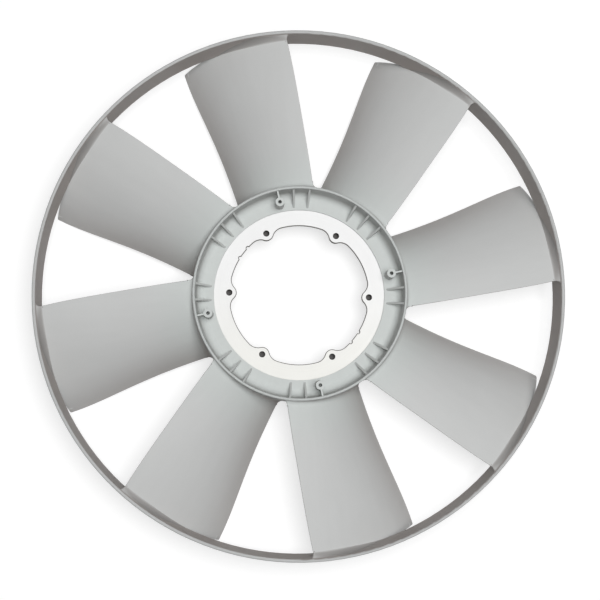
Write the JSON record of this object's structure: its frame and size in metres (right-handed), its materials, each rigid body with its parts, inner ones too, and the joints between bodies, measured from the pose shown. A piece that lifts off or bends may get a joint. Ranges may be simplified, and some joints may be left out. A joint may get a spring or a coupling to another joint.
{
  "type": "axial fan impeller",
  "caption": "Moulded axial fan wheel with wide curved blades joined by an outer ring, and a metal mounting plate set in its hub for bolting to a fan clutch.",
  "frame": {"origin": "on the fan axis, in the front face of the mounting plate where the clutch flange seats", "axes": "+Z along the fan axis towards the air inlet, +X through one of the six bolt holes; the wheel turns clockwise seen from +Z"},
  "size_m": [0.7498, 0.7498, 0.1076],
  "materials": {
    "fan_plastic": "satin glass-filled nylon, as moulded",
    "plate_metal": "fine turned face"
  },
  "bodies": {
    "root": {"fan_moulding": "fan_plastic", "mounting_plate": "plate_metal"}
  },
  "joints": []
}
